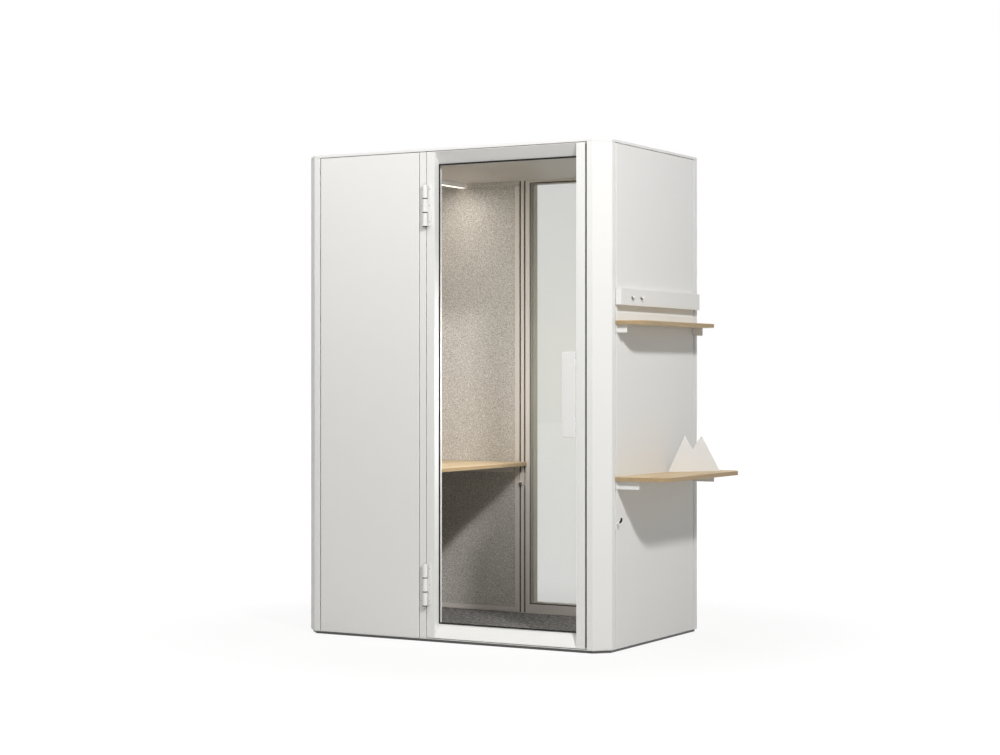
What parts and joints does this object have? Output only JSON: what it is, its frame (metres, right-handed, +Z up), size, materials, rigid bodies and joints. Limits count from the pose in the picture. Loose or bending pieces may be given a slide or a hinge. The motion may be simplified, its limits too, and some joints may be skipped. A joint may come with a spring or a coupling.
{
  "type": "acoustic office pod",
  "caption": "Free-standing sound-insulated work booth with a glazed swing door, rear window, desk, ventilation and line light inside, and shelves, rail and hooks on one side.",
  "frame": {"origin": "middle of the footprint, on the floor, under the base frame's cross bar", "axes": "+Z up; +X to the right seen from the front, towards the shelves; the door faces -Y"},
  "size_m": [1.87, 1.0736, 2.28],
  "materials": {
    "white_paint": "matt white powder coat",
    "warm_paint": "matt warm white powder coat",
    "dark_steel": "matt dark paint",
    "bare_steel": "satin",
    "oak": "clear matt lacquer",
    "felt": "pressed wool felt",
    "carpet": "short loop pile",
    "clear_glass": "clear laminated",
    "black_rubber": "matt",
    "board": "bare mineral board",
    "ceiling": "matt paint",
    "black_plastic": "fine moulded grain",
    "opal_plastic": "opal"
  },
  "bodies": {
    "pod": {"base_tray": "white_paint", "corner_post_front_left": "white_paint", "corner_post_front_right": "white_paint", "corner_post_back_left": "white_paint", "corner_post_back_right": "white_paint", "wall_panel_front": "white_paint", "wall_panel_back": "white_paint", "wall_panel_left": "white_paint", "wall_panel_right": "white_paint", "hinge_jamb": "white_paint", "latch_jamb": "white_paint", "door_head": "white_paint", "lower_hinge_jamb_leaf": "white_paint", "upper_hinge_jamb_leaf": "white_paint", "roof_cap": "white_paint", "light_channel": "white_paint", "lower_shelf_arm_front": "white_paint", "lower_shelf_arm_back": "white_paint", "upper_shelf_carrier": "white_paint", "accessory_rail": "white_paint", "side_hook": "white_paint", "bookend": "white_paint", "felt_back_trim": "warm_paint", "back_upright": "warm_paint", "window_frame": "warm_paint", "inner_hook": "warm_paint", "ceiling_grille": "warm_paint", "desk_ledger": "warm_paint", "base_plinth": "dark_steel", "threshold": "bare_steel", "lower_hinge_pin": "bare_steel", "upper_hinge_pin": "bare_steel", "desk_top": "oak", "lower_shelf": "oak", "upper_shelf": "oak", "felt_front": "felt", "felt_back": "felt", "felt_left": "felt", "felt_right": "felt", "carpet": "carpet", "window_glass": "clear_glass", "window_gasket": "black_rubber", "floor_deck": "board", "roof_core": "board", "ceiling_panel": "ceiling", "fan_tray": "black_plastic", "mains_inlet": "black_plastic", "light_diffuser": "opal_plastic"},
    "door": {"door_hinge_stile": "white_paint", "door_latch_stile": "white_paint", "door_top_rail": "white_paint", "door_bottom_rail": "white_paint", "door_glass": "clear_glass", "door_gasket": "black_rubber", "door_seal": "black_rubber", "pull_plate": "white_paint", "lower_hinge_door_leaf": "white_paint", "upper_hinge_door_leaf": "white_paint"},
    "front_fan": {"fan_rotor_front": "black_plastic"},
    "back_fan": {"fan_rotor_back": "black_plastic"}
  },
  "joints": [
    {"name": "door_swing", "type": "hinge", "parent": "pod", "child": "door", "pos_m": [-0.118, -0.5318, 1.14], "axis": [0, 0, -1], "range_deg": [0, 170]},
    {"name": "front_fan_spin", "type": "hinge", "parent": "pod", "child": "front_fan", "pos_m": [0.56, 0.09, 2.235], "axis": [0, 0, 1], "continuous": true},
    {"name": "back_fan_spin", "type": "hinge", "parent": "pod", "child": "back_fan", "pos_m": [0.56, 0.25, 2.235], "axis": [0, 0, 1], "continuous": true}
  ]
}
